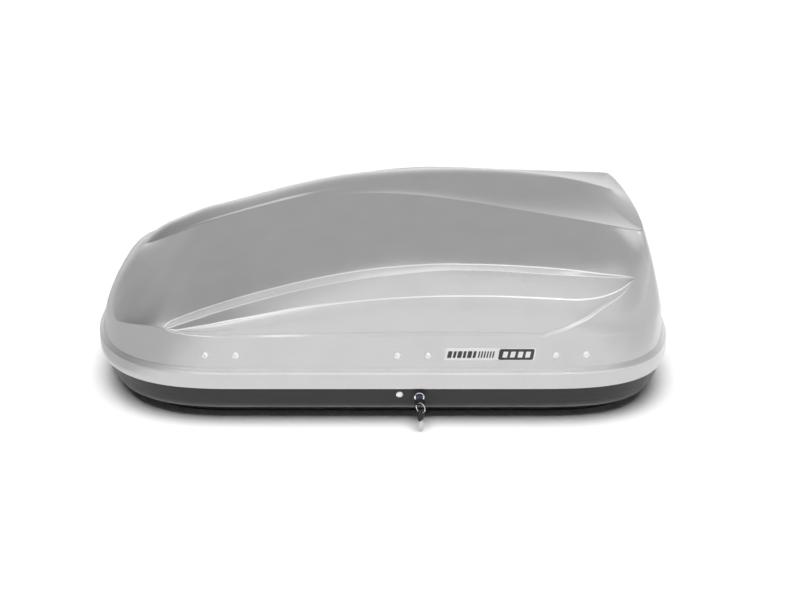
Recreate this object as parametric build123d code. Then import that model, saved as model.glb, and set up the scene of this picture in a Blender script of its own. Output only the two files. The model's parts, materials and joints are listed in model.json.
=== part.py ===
"""Roof cargo box: a two-shell luggage box for a car's roof bars.

Millimetres.  +X runs from the nose to the tail, -Y is the side that opens and carries the
lock, +Y is the hinge side, +Z is up.  The origin is the centre of the four mounting slots,
on the underside of the tray.
"""
import os
from bisect import bisect_right
from math import asin, atan2, cos, hypot, pi, radians, sin

from build123d import *

# ---------------------------------------------------------------- driving dimensions
HALF_WIDTH = 420.0          # rim, either side of the middle
NOSE_START = -290.0         # where the straight side begins to turn in to the nose
NOSE_LENGTH = 375.0
TAIL_START = 300.0
TAIL_LENGTH = 370.0
WALL = 3.0                  # formed plastic sheet

SKIRT_BOTTOM = 88.0         # lower edge of the lid's outer band
SKIRT_TOP = 124.0
LEDGE_INSET = 11.5          # the sloped ledge between the band and the lid wall
LEDGE_TOP = 131.0
BELT_INSET = 18.0           # the lid wall leans in this much up to its belt line

FLOOR = 3.0                 # top of the tray's floor sheet
TRAY_TOP = 111.0
SLOT_X = 300.0              # mounting slots, centre to middle
SLOT_Y = 170.0
SLOT_LENGTH = 200.0
SLOT_R = 4.0

HINGE_Y = 416.0
HINGE_Z = 82.0
HINGE_AT = (-240.0, 0.0, 240.0)
PIN_R = 1.75

LOCK_X = 88.4
LOCK_Z = 65.0
CAM_R = 14.142              # crank radius: a quarter turn moves the rail 20 mm
RAIL_Y = -380.5             # middle of the rail's thickness
RAIL_T = 3.0
STRIKER_AT = (-333.5, 73.5, 409.0)
RIVET_PITCH = 65.0
LATCH_RIVET_Z = 160.0
GUIDE_AT = (-260.0, -90.0, 200.0, 310.0)

STRUT_X = 310.0
STRUT_R = 130.0             # both studs lie this far from the hinge axis
STRUT_LOW = -3.0            # angle of the tray stud below the hinge, degrees
STRUT_HIGH = 57.0           # angle of the lid stud above it

RUN_GAP = 0.05              # radial clearance of a pin that turns


# ---------------------------------------------------------------- plan outline of the rim
def half_outline(steps=300):
    """The rim from the nose tip round the side to the tail tip, two superellipses."""
    nose = []
    tail = []
    for i in range(steps + 1):
        a = pi / 2 * i / steps
        nose_x = NOSE_START - NOSE_LENGTH * cos(a) ** (2 / 2.75)
        tail_x = TAIL_START + TAIL_LENGTH * cos(a) ** (2 / 3.4)
        nose.append((nose_x, HALF_WIDTH * sin(a) ** (2 / 2.45)))
        tail.append((tail_x, HALF_WIDTH * sin(a) ** (2 / 3.0)))
    return nose + tail[-2::-1]


OUTLINE = half_outline()
RUN = [0.0]
for start, stop in zip(OUTLINE, OUTLINE[1:]):
    RUN.append(RUN[-1] + hypot(stop[0] - start[0], stop[1] - start[1]))


def on_rim(u):
    """Point of the half outline at the fraction u of its length."""
    s = u * RUN[-1]
    i = min(bisect_right(RUN, s) - 1, len(RUN) - 2)
    t = (s - RUN[i]) / (RUN[i + 1] - RUN[i])
    x0, y0 = OUTLINE[i]
    x1, y1 = OUTLINE[i + 1]
    return x0 + (x1 - x0) * t, y0 + (y1 - y0) * t


def rim(u, inset):
    """The rim moved inwards, square to itself."""
    if u <= 0:
        return OUTLINE[0][0] + inset, 0.0
    if u >= 1:
        return OUTLINE[-1][0] - inset, 0.0
    x, y = on_rim(u)
    reach = min(0.004, u, 1 - u)
    x0, y0 = on_rim(u - reach)
    x1, y1 = on_rim(u + reach)
    run = hypot(x1 - x0, y1 - y0)
    return x + inset * (y1 - y0) / run, y - inset * (x1 - x0) / run


def side_y(x, inset):
    """Distance from the middle to the inset rim, at a place along the straight-ish side."""
    low, high = 0.15, 0.85
    for _ in range(40):
        u = (low + high) / 2
        if rim(u, inset)[0] < x:
            low = u
        else:
            high = u
    return rim(u, inset)[1]


# ---------------------------------------------------------------- lid surface
# Curves over u, the fraction along the rim from the nose (0) to the tail (1).
# Crease where the side of the lid meets the deck, and the tail's trailing edge: u, x, y, z.
CREASE = (
    (0.00, -566, 0, 282), (0.05, -563, 18, 282), (0.10, -553, 38, 283), (0.15, -525, 49, 294),
    (0.20, -480, 52, 312.5), (0.25, -420, 53, 336.5), (0.30, -350, 53, 358), (0.35, -272, 53, 380),
    (0.40, -180, 55, 403), (0.45, -85, 76, 417), (0.50, 10, 100, 426), (0.55, 105, 123, 426.5),
    (0.60, 199, 144, 419.5), (0.65, 290, 164, 410), (0.70, 375, 184, 401.5), (0.75, 450, 203, 394),
    (0.80, 515, 221, 387), (0.84, 560, 234, 382.5), (0.862, 577, 231, 381.5), (0.88, 581.5, 208, 383),
    (0.91, 585.5, 160, 385), (0.95, 589, 88, 386), (1.00, 590.5, 0, 386),
)
# Edge of the raised spine: u, x, y, z.
SPINE = (
    (0.00, -557, 0, 288), (0.05, -555.5, 16.5, 287.5), (0.10, -546, 35, 289), (0.15, -519, 44, 299),
    (0.20, -476, 47, 318), (0.25, -417, 48.5, 341.5), (0.30, -349, 48.5, 363.5), (0.35, -272, 48, 386),
    (0.40, -180, 48, 409.5), (0.45, -85, 48, 428), (0.50, 10, 48, 438), (0.55, 105, 47, 443),
    (0.60, 199, 43, 445), (0.65, 290, 34, 444), (0.70, 365, 20, 441.5), (0.75, 425, 9, 435),
    (0.80, 468, 5, 427), (0.85, 500, 3.5, 418.5), (0.90, 522, 2.5, 412), (0.95, 537, 1.5, 407),
    (1.00, 546, 0, 404),
)
# Top of the spine, on the middle plane: u, x, z.
CROWN = (
    (0.00, -545, 297), (0.10, -534, 305.5), (0.15, -511, 319.5), (0.20, -470, 337), (0.25, -415, 358),
    (0.30, -348, 374.5), (0.35, -272, 394), (0.40, -180, 418), (0.45, -85, 436.5), (0.50, 10, 446.5),
    (0.55, 105, 452), (0.60, 199, 453), (0.65, 288, 450), (0.70, 362, 444), (0.75, 421, 436.5),
    (0.80, 463, 428), (0.85, 494, 420), (0.90, 515, 414), (0.95, 530, 409.5), (1.00, 540, 406),
)
# Height of the belt line: u, z.
BELT = (
    (0.00, 153), (0.06, 158), (0.12, 173), (0.16, 187), (0.20, 204), (0.24, 212), (0.27, 204),
    (0.30, 200.5), (0.36, 200), (0.50, 200), (0.70, 200), (0.80, 197), (0.88, 191), (1.00, 186),
)
# Shape of the side between belt and crease: u, share of straight slope, roundness, sharpness.
SIDE = (
    (0.00, 0.00, 1.5, 1.4), (0.10, 0.20, 1.8, 1.45), (0.15, 0.60, 2.4, 1.6), (0.20, 0.86, 4, 1.8),
    (0.25, 0.84, 7, 2), (0.30, 0.74, 9, 2), (0.35, 0.62, 9, 2), (0.40, 0.54, 9, 2), (0.45, 0.47, 9, 2),
    (0.50, 0.42, 9, 2), (0.60, 0.42, 9, 2), (0.70, 0.42, 7, 1.9), (0.75, 0.43, 5.5, 1.7),
    (0.80, 0.45, 4, 1.5), (0.85, 0.60, 2.5, 1.3), (0.90, 0.80, 2, 1.2), (1.00, 0.85, 2, 1.2),
)


def key_slope(keys, k, column):
    """Slope of a keyed curve at its key k."""
    before = max(k - 1, 0)
    after = min(k + 1, len(keys) - 1)
    left = keys[k][0] - keys[before][0]
    right = keys[after][0] - keys[k][0]
    rise_left = keys[k][column] - keys[before][column]
    rise_right = keys[after][column] - keys[k][column]
    if left == 0:
        return rise_right / right
    if right == 0:
        return rise_left / left
    return (rise_left / left * right + rise_right / right * left) / (left + right)


def curve(keys, u):
    """Smooth curve through keys of (u, value, value...)."""
    k = 0
    while k < len(keys) - 2 and keys[k + 1][0] < u:
        k += 1
    span = keys[k + 1][0] - keys[k][0]
    t = (u - keys[k][0]) / span
    values = []
    for column in range(1, len(keys[0])):
        value = keys[k][column] * (2 * t**3 - 3 * t**2 + 1)
        value += keys[k + 1][column] * (3 * t**2 - 2 * t**3)
        value += key_slope(keys, k, column) * span * (t**3 - 2 * t**2 + t)
        value += key_slope(keys, k + 1, column) * span * (t**3 - t**2)
        values.append(value)
    return values


def side_point(u, h):
    """Lid surface from the belt line, h = 0, to the deck crease, h = 1."""
    x, y = rim(u, BELT_INSET)
    z = curve(BELT, u)[0]
    crease_x, crease_y, crease_z = curve(CREASE, u)
    straight, roundness, sharpness = curve(SIDE, u)
    rise = straight * h + (1 - straight) * max(0, 1 - (1 - h) ** roundness) ** (1 / sharpness)
    return x + (crease_x - x) * h, y + (crease_y - y) * h, z + (crease_z - z) * rise


def deck_point(u, t):
    """Lid surface from the crease, t = 0, over the spine's edge, t = 1, to its crown, t = 2."""
    edge = curve(SPINE, u)
    if t <= 1:
        crease = curve(CREASE, u)
        dip = 0.22 * hypot(crease[0] - edge[0], crease[1] - edge[1]) * t * (1 - t)
        x, y, z = (a + (b - a) * t for a, b in zip(crease, edge))
        return x, y, z - dip
    crown_x, crown_z = curve(CROWN, u)
    s = t - 1
    bow = s * (1 + min(1, max(0, (u - 0.04) / 0.12)) * (1 - s))
    return edge[0] + (crown_x - edge[0]) * s, edge[1] * (1 - s), edge[2] + (crown_z - edge[2]) * bow


# ---------------------------------------------------------------- helpers
def put(name, *solids):
    """Write one node: one solid, or a group of separate ones."""
    flat = []
    for solid in solids:
        flat.extend(solid.solids())
    part = flat[0] if len(flat) == 1 else Compound(children=flat)
    part.label = name
    export_step(part, f"parts/{name}.step")


def ring_wire(inset, z, count=48):
    """Closed smooth wire: the whole rim, inset, at a height."""
    near = [rim(i / count, inset) for i in range(count + 1)]
    points = [(x, y, z) for x, y in near] + [(x, -y, z) for x, y in near[-2:0:-1]]
    return Wire([Edge.make_spline(points, periodic=True)])


def stack(rows):
    """Solid through closed rim wires given as (inset, z), straight between them."""
    return Solid.make_loft([ring_wire(inset, z) for inset, z in rows], ruled=True)


def prism_x(points, x0, x1):
    """Straight bar along X with a polygon section given as (y, z)."""
    face = Face(Wire.make_polygon([(x0, y, z) for y, z in points], close=True))
    return extrude(face, x1 - x0, dir=(1, 0, 0))


def prism_y(points, y0, y1):
    """Plate of thickness y0..y1 with a polygon outline given as (x, z)."""
    face = Face(Wire.make_polygon([(x, y0, z) for x, z in points], close=True))
    return extrude(face, y1 - y0, dir=(0, 1, 0))


def block(x0, x1, y0, y1, z0, z1):
    """Box between two corners."""
    middle = Pos((x0 + x1) / 2, (y0 + y1) / 2, (z0 + z1) / 2)
    return middle * Box(x1 - x0, y1 - y0, z1 - z0)


def rod(start, stop, radius):
    """Round bar between two points."""
    axis = Vector(*stop) - Vector(*start)
    return Plane(origin=start, z_dir=axis) * Cylinder(
        radius, axis.length, align=(Align.CENTER, Align.CENTER, Align.MIN))


def rivet(place, out, head_r, head_h, shank_r, grip, tail=2.0):
    """Domed blind rivet: head standing on `place`, shank going back through `grip`."""
    frame = Plane(origin=place, z_dir=out)
    low = (Align.CENTER, Align.CENTER, Align.MIN)
    high = (Align.CENTER, Align.CENTER, Align.MAX)
    head = Cylinder(head_r, head_h * 0.45, align=low)
    head += Pos(0, 0, head_h * 0.45) * Cone(head_r, head_r * 0.55, head_h * 0.55, align=low)
    body = head + Cylinder(shank_r, grip + tail, align=high)
    body += Pos(0, 0, -grip) * Cylinder(shank_r * 1.5, tail, align=high)
    body -= Pos(0, 0, head_h) * Cylinder(shank_r * 0.45, 1.2, align=high)
    return frame * body


def slot_cut(x, y, z0, z1):
    """Long round-ended slot along X."""
    half = SLOT_LENGTH / 2 - SLOT_R
    cut = block(x - half, x + half, y - SLOT_R, y + SLOT_R, z0, z1)
    for end in (x - half, x + half):
        cut += rod((end, y, z0), (end, y, z1), SLOT_R)
    return cut


def corners(spread_x, spread_y):
    """Four points of a rectangle about the middle."""
    return [(sx * spread_x, sy * spread_y) for sx in (-1, 1) for sy in (-1, 1)]


# ---------------------------------------------------------------- tray
TRAY_OUTSIDE = ((72, 0), (26.5, 34), (15, 57), (9.5, 84), (7, TRAY_TOP))
TRAY_INSIDE = ((73.1, FLOOR), (28.9, 35.9), (17.9, 58), (12.6, 84.5), (10.3, TRAY_TOP - WALL))
FLANGE_INSET = 20.0
RIB_Y = 85.0                # stiffening ribs pressed into the floor
RIB_HALF_LENGTH = 440.0
LEAN = atan2(15 - 9.5, 84 - 57)          # of the wall that carries hinges and lock
WALL_OUT_Y = cos(LEAN)
WALL_OUT_Z = -sin(LEAN)


def tray_wall(z, inside=False):
    """Inset of the tray's wall at a height."""
    rows = TRAY_INSIDE if inside else TRAY_OUTSIDE
    for (i0, z0), (i1, z1) in zip(rows, rows[1:]):
        if z0 <= z <= z1:
            return i0 + (i1 - i0) * (z - z0) / (z1 - z0)
    return rows[-1][0]


def base_hinge_screws():
    """Places of the rivets that hold the lower hinge leaves."""
    z = 67.0
    y = HALF_WIDTH - tray_wall(z)
    return [(x + dx, y, z) for x in HINGE_AT for dx in (-20, 20)]


LOCK_RIVET = (46.0, -(HALF_WIDTH - tray_wall(70.0)), 70.0)
BOSS_FACE = -409.5
BOSS_R = 18.0
CASE_R = 9.8


def base_shell():
    """Black tray: floor, bevel, leaning wall and an inward flange round the opening."""
    boss = rod((LOCK_X, BOSS_FACE, LOCK_Z), (LOCK_X, -392, LOCK_Z), BOSS_R)
    shell = stack(TRAY_OUTSIDE) + boss - stack(TRAY_INSIDE)
    shell -= extrude(Face(ring_wire(FLANGE_INSET, TRAY_TOP - WALL - 5)), 20, dir=(0, 0, 1))
    for y in (-RIB_Y, RIB_Y):
        shell += block(-RIB_HALF_LENGTH, RIB_HALF_LENGTH, y - 20, y + 20, 1, 9)
        shell -= block(3 - RIB_HALF_LENGTH, RIB_HALF_LENGTH - 3, y - 17, y + 17, -1, 6)
    shell -= rod((LOCK_X, BOSS_FACE - 1, LOCK_Z), (LOCK_X, -390, LOCK_Z), CASE_R + 0.2)
    for x, y in corners(SLOT_X, SLOT_Y):
        shell -= slot_cut(x, y, -1, FLOOR + 1)
    for x, y, z in base_hinge_screws():
        out = Vector(0, WALL_OUT_Y, WALL_OUT_Z)
        shell -= rod(Vector(x, y, z) - 6 * out, Vector(x, y, z) + 3 * out, 2.5)
    out = Vector(0, -WALL_OUT_Y, WALL_OUT_Z)
    shell -= rod(Vector(*LOCK_RIVET) - 6 * out, Vector(*LOCK_RIVET) + 3 * out, 2.5)
    for x in GUIDE_AT:
        shell -= rod((x, GUIDE_SCREW_Y, TRAY_TOP - 5), (x, GUIDE_SCREW_Y, TRAY_TOP + 1), 1.9)
    for x, y in STIFFENER_RIVETS + STRUT_RIVETS + ANCHOR_RIVETS:
        shell -= rod((x, y, -1), (x, y, FLOOR + 1), 2.5)
    return shell


STIFFENER_X = 440.0
STIFFENER_W = 30.0
STIFFENER_T = 2.0
STIFFENER_RIVETS = [(x, sy * SLOT_Y) for x in (-425, -175, 175, 425) for sy in (-1, 1)]
ANCHOR_X = 120.0            # straps, either side of the middle
ANCHOR_Y = 225.0
ANCHOR_RIVETS = [(x + dx, y) for x, y in corners(ANCHOR_X, ANCHOR_Y) for dx in (-23, 23)]


def stiffener(side):
    """Slotted steel strip that spreads the clamps' load along the floor."""
    y = side * SLOT_Y
    low, high = y - STIFFENER_W, y + STIFFENER_W
    strip = block(-STIFFENER_X, STIFFENER_X, low, high, FLOOR, FLOOR + STIFFENER_T)
    for edge in (low, high - 2):
        strip += block(-STIFFENER_X, STIFFENER_X, edge, edge + 2, FLOOR, FLOOR + 6)
    for x in (-SLOT_X, SLOT_X):
        strip -= slot_cut(x, y, 0, FLOOR + 9)
    for x, rivet_y in STIFFENER_RIVETS:
        if rivet_y == y:
            strip -= rod((x, y, 0), (x, y, 12), 2.5)
    return strip


def floor_rivets(places, stack_up):
    """Rivets down through the floor; the tails end flush in shallow dimples above the underside."""
    top = FLOOR + stack_up
    return [rod((x, y, 0.3), (x, y, top), 2.4) + rod((x, y, top), (x, y, top + 1.6), 5.5)
            for x, y in places]


# ---------------------------------------------------------------- hinges
HINGE_HALF = 30.0
KNUCKLE_HALF = 10.0
KNUCKLE_R = 4.0
LID_LEAF_Z = 100.0


def tube_x(x0, x1, radius, bore):
    """Knuckle along X on the hinge axis."""
    outside = rod((x0, HINGE_Y, HINGE_Z), (x1, HINGE_Y, HINGE_Z), radius)
    return outside - rod((x0 - 1, HINGE_Y, HINGE_Z), (x1 + 1, HINGE_Y, HINGE_Z), bore)


def hinge_base_leaf(x):
    """Lower leaf, on the outside of the tray's wall, with its two outer knuckles."""
    knuckle_bottom = HINGE_Z - KNUCKLE_R
    section = [(HALF_WIDTH - tray_wall(z) + 0.05, z) for z in (80.5, 58.6)]
    section += [(HALF_WIDTH - tray_wall(z) + 1.6, z) for z in (58.6, knuckle_bottom)]
    section += [(HINGE_Y, knuckle_bottom)]
    section += [(HINGE_Y, HINGE_Z), (HINGE_Y - 3.8, HINGE_Z)]
    leaf = prism_x(section, x - HINGE_HALF, x + HINGE_HALF)
    leaf -= block(x - KNUCKLE_HALF - 0.3, x + KNUCKLE_HALF + 0.3, 411.3, 425, 76, 90)
    for x0, x1 in ((-HINGE_HALF, -KNUCKLE_HALF - 0.3), (KNUCKLE_HALF + 0.3, HINGE_HALF)):
        leaf += rod((x + x0, HINGE_Y, HINGE_Z), (x + x1, HINGE_Y, HINGE_Z), KNUCKLE_R)
    leaf -= rod((x - 40, HINGE_Y, HINGE_Z), (x + 40, HINGE_Y, HINGE_Z), PIN_R + RUN_GAP)
    out = Vector(0, WALL_OUT_Y, WALL_OUT_Z)
    for hole in base_hinge_screws():
        leaf -= rod(Vector(*hole) - 6 * out, Vector(*hole) + 6 * out, 2.5)
    return leaf


def hinge_lid_leaf(x):
    """Upper leaf, inside the lid's band, with the middle knuckle."""
    leaf = block(x - HINGE_HALF, x + HINGE_HALF, 415.3, 416.9, 87.5, 112)
    leaf += block(x - KNUCKLE_HALF, x + KNUCKLE_HALF, 415.3, 416.9, HINGE_Z, 88)
    leaf += tube_x(x - KNUCKLE_HALF, x + KNUCKLE_HALF, KNUCKLE_R, PIN_R + RUN_GAP)
    leaf -= rod((x - 20, HINGE_Y, HINGE_Z), (x + 20, HINGE_Y, HINGE_Z), PIN_R + RUN_GAP)
    for dx in (-20, 20):
        leaf -= rod((x + dx, 410, LID_LEAF_Z), (x + dx, 425, LID_LEAF_Z), 2.5)
    return leaf


def hinge_pin(x):
    """Plain pin through the three knuckles."""
    ends = ((x - HINGE_HALF - 1, HINGE_Y, HINGE_Z), (x + HINGE_HALF + 1, HINGE_Y, HINGE_Z))
    return rod(*ends, PIN_R)


# ---------------------------------------------------------------- lock and rail
RAIL_Z0, RAIL_Z1 = 68.0, 88.0
RAIL_X0, RAIL_X1 = -378.0, 400.0
RAIL_IN = RAIL_Y + RAIL_T / 2
RAIL_OUT = RAIL_Y - RAIL_T / 2
STRIKER_Z = 96.0
STRIKER_HALF = 40.0
HOOK_LIP = 101.0
GUIDE_SCREW_Y = -404.0
CYLINDER_R = 7.9
NECK_R = 2.8
CYLINDER_FACE = -413.0
CAM_PIN_R = 2.5
CASE_PLATE = (-398.3, -396.3)     # thickness, along Y


def lock_case():
    """Barrel housing, shouldered at its inner end, and the plate that is riveted behind the wall."""
    plate = block(38, 107, *CASE_PLATE, 59, 82)
    case = plate + rod((LOCK_X, BOSS_FACE + 0.2, LOCK_Z), (LOCK_X, -387.5, LOCK_Z), CASE_R)
    case -= rod((LOCK_X, -430, LOCK_Z), (LOCK_X, -388.9, LOCK_Z), CYLINDER_R + RUN_GAP)
    case -= rod((LOCK_X, -400, LOCK_Z), (LOCK_X, -370, LOCK_Z), NECK_R + RUN_GAP)
    out = Vector(0, -WALL_OUT_Y, WALL_OUT_Z)
    case -= rod(Vector(*LOCK_RIVET) - 14 * out, Vector(*LOCK_RIVET) + 3 * out, 2.5)
    return case


def lock_bezel():
    """Bright trim ring round the keyhole."""
    face = (LOCK_X, BOSS_FACE - 4.2, LOCK_Z)
    ring = rod((LOCK_X, BOSS_FACE, LOCK_Z), face, 11.0)
    ring = chamfer(ring.edges().filter_by(GeomType.CIRCLE).sort_by(Axis.Y)[0], 1.2)
    return ring - rod((LOCK_X, -400, LOCK_Z), (LOCK_X, -420, LOCK_Z), CYLINDER_R + 0.2)


def lock_cylinder():
    """Turning plug with its keyway."""
    plug = rod((LOCK_X, CYLINDER_FACE, LOCK_Z), (LOCK_X, -389.1, LOCK_Z), CYLINDER_R)
    plug += rod((LOCK_X, -389.1, LOCK_Z), (LOCK_X, -386.3, LOCK_Z), NECK_R)
    return plug - block(LOCK_X - 4.3, LOCK_X + 4.3, -420, -390, LOCK_Z - 1.3, LOCK_Z + 1.3)


def cam_pin_place():
    """Crank pin at rest, 45 degrees before the top."""
    offset = CAM_R * sin(pi / 4)
    return LOCK_X - offset, LOCK_Z + offset


def lock_cam():
    """Crank on the plug's inner end; its pin drives the rail."""
    pin_x, pin_z = cam_pin_place()
    arm = rod((LOCK_X, -386.3, LOCK_Z), (LOCK_X, RAIL_OUT - 0.8, LOCK_Z), 6.5)
    arm += rod((pin_x, -386.3, pin_z), (pin_x, RAIL_OUT - 0.8, pin_z), 4.5)
    web = Pos((LOCK_X + pin_x) / 2, 0, (LOCK_Z + pin_z) / 2) * Rot(0, 45, 0) * Box(CAM_R, 1, 8)
    lowest = RAIL_OUT - 0.8 + 386.3
    arm += Pos(0, (RAIL_OUT - 0.8 - 386.3) / 2, 0) * scale(web, by=(1, lowest, 1))
    return arm + rod((pin_x, RAIL_OUT - 0.9, pin_z), (pin_x, RAIL_IN + 1.5, pin_z), CAM_PIN_R)


def latch_rail():
    """Flat steel bar that joins the hooks and slides along the opening side."""
    rail = block(RAIL_X0, RAIL_X1, RAIL_OUT, RAIL_IN, RAIL_Z0, RAIL_Z1)
    pin_x, pin_z = cam_pin_place()
    half = CAM_PIN_R + 0.6
    slot = block(pin_x - half, pin_x + half, -400, -360, pin_z - half, LOCK_Z + CAM_R + half)
    return rail - slot


def latch_hook(x):
    """Hook welded on the rail's inner face; its lip passes over the striker's pin."""
    outline = [(x - 30, RAIL_Z0 + 4), (x - 12, RAIL_Z0 + 4), (x - 12, RAIL_Z1), (x - 24, RAIL_Z1 + 2)]
    outline += [(x - 24, HOOK_LIP), (x - 5, HOOK_LIP), (x - 5, HOOK_LIP + 3), (x - 9, HOOK_LIP + 6)]
    outline += [(x - 30, HOOK_LIP + 6)]
    return prism_y(outline, RAIL_IN, RAIL_IN + 2.5)


def guide(x):
    """Bracket under the tray's flange; the rail slides through its window."""
    section = [(-(HALF_WIDTH - tray_wall(z, True) - 0.4), z) for z in (64, 84)]
    section += [(-408.0, 96), (-408.0, TRAY_TOP - WALL), (-398, TRAY_TOP - WALL)]
    section += [(-398, 92.5), (-375.5, 92.5), (-375.5, 64)]
    bracket = prism_x(section, x - 12, x + 12)
    bracket -= block(x - 13, x + 13, RAIL_OUT - 0.3, RAIL_IN + 0.3, RAIL_Z0 - 0.3, RAIL_Z1 + 0.3)
    return bracket - rod((x, GUIDE_SCREW_Y, 98), (x, GUIDE_SCREW_Y, 112), 1.9)


def guide_screw(x):
    """Pan-head screw down through the flange into a guide."""
    head = rod((x, GUIDE_SCREW_Y, TRAY_TOP), (x, GUIDE_SCREW_Y, TRAY_TOP + 1.8), 3.6)
    return head + rod((x, GUIDE_SCREW_Y, 99), (x, GUIDE_SCREW_Y, TRAY_TOP), 1.8)


def lid_inset(z):
    """Inset of the lid wall's outside at a height below the belt line."""
    return LEDGE_INSET + (BELT_INSET - LEDGE_INSET) * (z - LEDGE_TOP) / (200 - LEDGE_TOP)


def wall_chord(x, half):
    """Straight line across the lid's curved side: its middle's distance, and its turn in degrees."""
    near = side_y(x - half, 0)
    far = side_y(x + half, 0)
    return (near + far) / 2, asin((near - far) / (2 * half)) * 180 / pi


def striker(x):
    """Steel bracket inside the lid wall, with the cross pin that the hook catches."""
    inside = [(lid_inset(z) + WALL + 0.3, z) for z in (138.5, 182)]
    wall_y, turn = wall_chord(x, STRIKER_HALF)
    section = [(-(wall_y - inset), z) for inset, z in inside]
    section += [(y + 2.5, z) for y, z in reversed(section)]
    plate = prism_x(section, x - STRIKER_HALF, x + STRIKER_HALF)
    tongue = [(section[0][0] + 0.2, 140), (section[0][0] + 0.2, 137.5), (-396, 128), (-396, 89)]
    tongue += [(-393.5, 89), (-393.5, 129), (section[0][0] + 2.5, 139.5)]
    bracket = plate + prism_x(tongue, x - 14, x + 14)
    bracket = Pos(x, -400, 0) * Rot(0, 0, turn) * Pos(-x, 400, 0) * bracket
    bracket += rod((x, -394.5, STRIKER_Z), (x, RAIL_IN + 4.5, STRIKER_Z), 3.0)
    for place, out in latch_rivet_places(x):
        bracket -= rod(Vector(*place) - 14 * Vector(*out), Vector(*place), 2.5)
    return bracket


def latch_rivet_places(x):
    """Two rivets on the lid's side over a striker: place on the surface, and outward direction."""
    places = []
    for dx in (-RIVET_PITCH / 2, RIVET_PITCH / 2):
        inset = lid_inset(LATCH_RIVET_Z)
        here = side_y(x + dx, inset)
        turn = (side_y(x + dx + 2, inset) - side_y(x + dx - 2, inset)) / 4
        out = Vector(-turn, -1, (BELT_INSET - LEDGE_INSET) / (200 - LEDGE_TOP)).normalized()
        places.append(((x + dx, -here, LATCH_RIVET_Z), tuple(out)))
    return places


# ---------------------------------------------------------------- keys
KEY_TIP = -447.0
KEY_T = 3.0
RING_R = 11.0
RING_WIRE = 0.8
RING_TURN = -35.0           # the ring's plane, turned from the box's side, degrees
RING_PLACE = (90.6, -445.6)


def bow(width, length, slot_width):
    """Key head lying in XY, its tip at y = 0 and its shoulder at y = length."""
    half = width / 2
    outline = [(-half + 5, 0), (half - 5, 0), (half, 6), (half, length - 7), (5, length), (-5, length)]
    outline += [(-half, length - 7), (-half, 6)]
    head = extrude(Face(Wire.make_polygon([(x, y, -KEY_T / 2) for x, y in outline], close=True)),
                   KEY_T, dir=(0, 0, 1))
    cut = Pos(0, 5.6, 0) * Box(slot_width, 5.6, 9)
    return head - cut


def key_bow():
    """Plastic head of the key that is in the lock."""
    return Pos(LOCK_X, KEY_TIP, LOCK_Z) * bow(23, 26, 14)


def key_blade():
    """Steel blade, most of it inside the plug."""
    y0 = KEY_TIP + 26
    return block(LOCK_X - 4, LOCK_X + 4, y0, -391, LOCK_Z - 1, LOCK_Z + 1)


def ring_top():
    """Height of the ring's centre when it hangs on the key's head."""
    return LOCK_Z + KEY_T / 2 + RING_WIRE + 0.6 - RING_R


def key_ring():
    """Wire ring through both keys."""
    circle = Rot(90, 0, 0) * Torus(RING_R, RING_WIRE)
    return Pos(*RING_PLACE, ring_top()) * Rot(0, 0, RING_TURN) * circle


SPARE_TILT = 4.0
SPARE_HEAD = 27.0


def spare(piece):
    """Hang a piece of the spare key on the ring: local Y runs down, local Z along the ring's wire."""
    hang = Pos(0, -7.0, 0) * piece
    upright = Rot(0, 0, RING_TURN) * Rot(0, 90, 0) * Rot(0, 0, -90) * Rot(0, 0, SPARE_TILT)
    return Pos(*RING_PLACE, ring_top() - RING_R) * upright * hang


def spare_key_bow():
    """Plastic head of the spare key."""
    return spare(bow(20, SPARE_HEAD, 7))


def spare_key_blade():
    """Blade of the spare key, its tip just clear of the ground."""
    blade = [(-4, SPARE_HEAD), (4, SPARE_HEAD), (4, 47), (1.5, 50), (-2, 50), (-4, 47)]
    face = Face(Wire.make_polygon([(x, y, -1) for x, y in blade], close=True))
    return spare(extrude(face, 2, dir=(0, 0, 1)))


# ---------------------------------------------------------------- struts
TUBE_R = 7.5
TUBE_BORE = 4.3
PISTON_ROD_R = 4.0
EYE_R = 6.0
STUD_R = 3.0
WEB = (8.4, 10.9)           # bracket plate, to the outer side of the strut's line
FOOT_END = 28.0
FOOT_MID = 20.0
STRUT_RIVETS = [(sx * (STRUT_X + FOOT_MID), y) for sx in (-1, 1) for y in (262.0, 312.0)]


def stud_place(degrees):
    """Point (y, z) at the strut radius from the hinge axis, at an angle towards the opening side."""
    a = radians(degrees)
    return HINGE_Y - STRUT_R * cos(a), HINGE_Z + STRUT_R * sin(a)


def strut_point(side, along):
    """Point on the strut's line, measured from the tray stud towards the lid stud."""
    y0, z0 = stud_place(STRUT_LOW)
    y1, z1 = stud_place(STRUT_HIGH)
    length = hypot(y1 - y0, z1 - z0)
    t = along / length
    return side * STRUT_X, y0 + (y1 - y0) * t, z0 + (z1 - z0) * t


def eye(side, along):
    """End fitting with its stud hole."""
    x, y, z = strut_point(side, along)
    ring = rod((x - 4.5, y, z), (x + 4.5, y, z), EYE_R)
    return ring, rod((x - 6, y, z), (x + 6, y, z), STUD_R + RUN_GAP)


def strut_cylinder(side):
    """Pressure tube, open at the top, with the lower eye."""
    ring, hole = eye(side, 0)
    tube = rod(strut_point(side, 8), strut_point(side, 103), TUBE_R)
    neck = rod(strut_point(side, 2), strut_point(side, 9), 3.6)
    tube -= rod(strut_point(side, 9.5), strut_point(side, 104), TUBE_BORE)
    return ring + neck + tube - hole


def strut_rod(side):
    """Piston rod with the upper eye."""
    ring, hole = eye(side, STRUT_R)
    return rod(strut_point(side, 11), strut_point(side, STRUT_R - 3), PISTON_ROD_R) + ring - hole


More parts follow.
